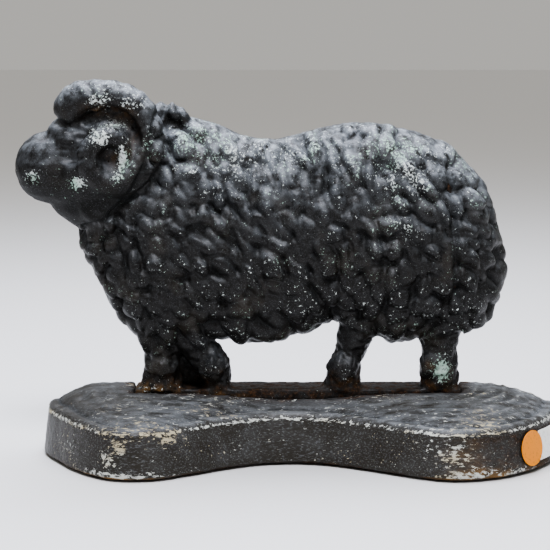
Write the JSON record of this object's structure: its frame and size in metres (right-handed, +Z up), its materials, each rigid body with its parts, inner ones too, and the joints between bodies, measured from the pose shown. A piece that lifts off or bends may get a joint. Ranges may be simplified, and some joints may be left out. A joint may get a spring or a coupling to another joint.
{
  "type": "door stop",
  "caption": "Flat-backed cast-iron ram door stop on a heavy two-lobed base, held together by screws from below.",
  "frame": {"origin": "middle of the bounding box's footprint, on the floor under the felt pads", "axes": "+X along the length, with the ram's head at -X; +Y to the flat back that faces the door; +Z up"},
  "size_m": [0.3032, 0.075, 0.2092],
  "materials": {
    "ram_iron": "worn satin black paint over cast iron, with pale specks",
    "base_iron": "worn satin black paint over cast iron, rubbed pale on its edges",
    "screw_steel": "dull zinc-plated steel",
    "washer_steel": "dull zinc-plated steel",
    "felt": "dense dark grey wool felt",
    "orange_paper": "orange coated paper",
    "white_paper": "white coated paper"
  },
  "bodies": {
    "root": {"ram_casting": "ram_iron", "base_casting": "base_iron", "figure_screw_left": "screw_steel", "figure_screw_right": "screw_steel", "screw_washer_left": "washer_steel", "screw_washer_right": "washer_steel", "felt_pad_front_left": "felt", "felt_pad_front_right": "felt", "felt_pad_back_left": "felt", "felt_pad_back_right": "felt", "price_dot": "orange_paper", "price_label": "white_paper"}
  },
  "joints": []
}
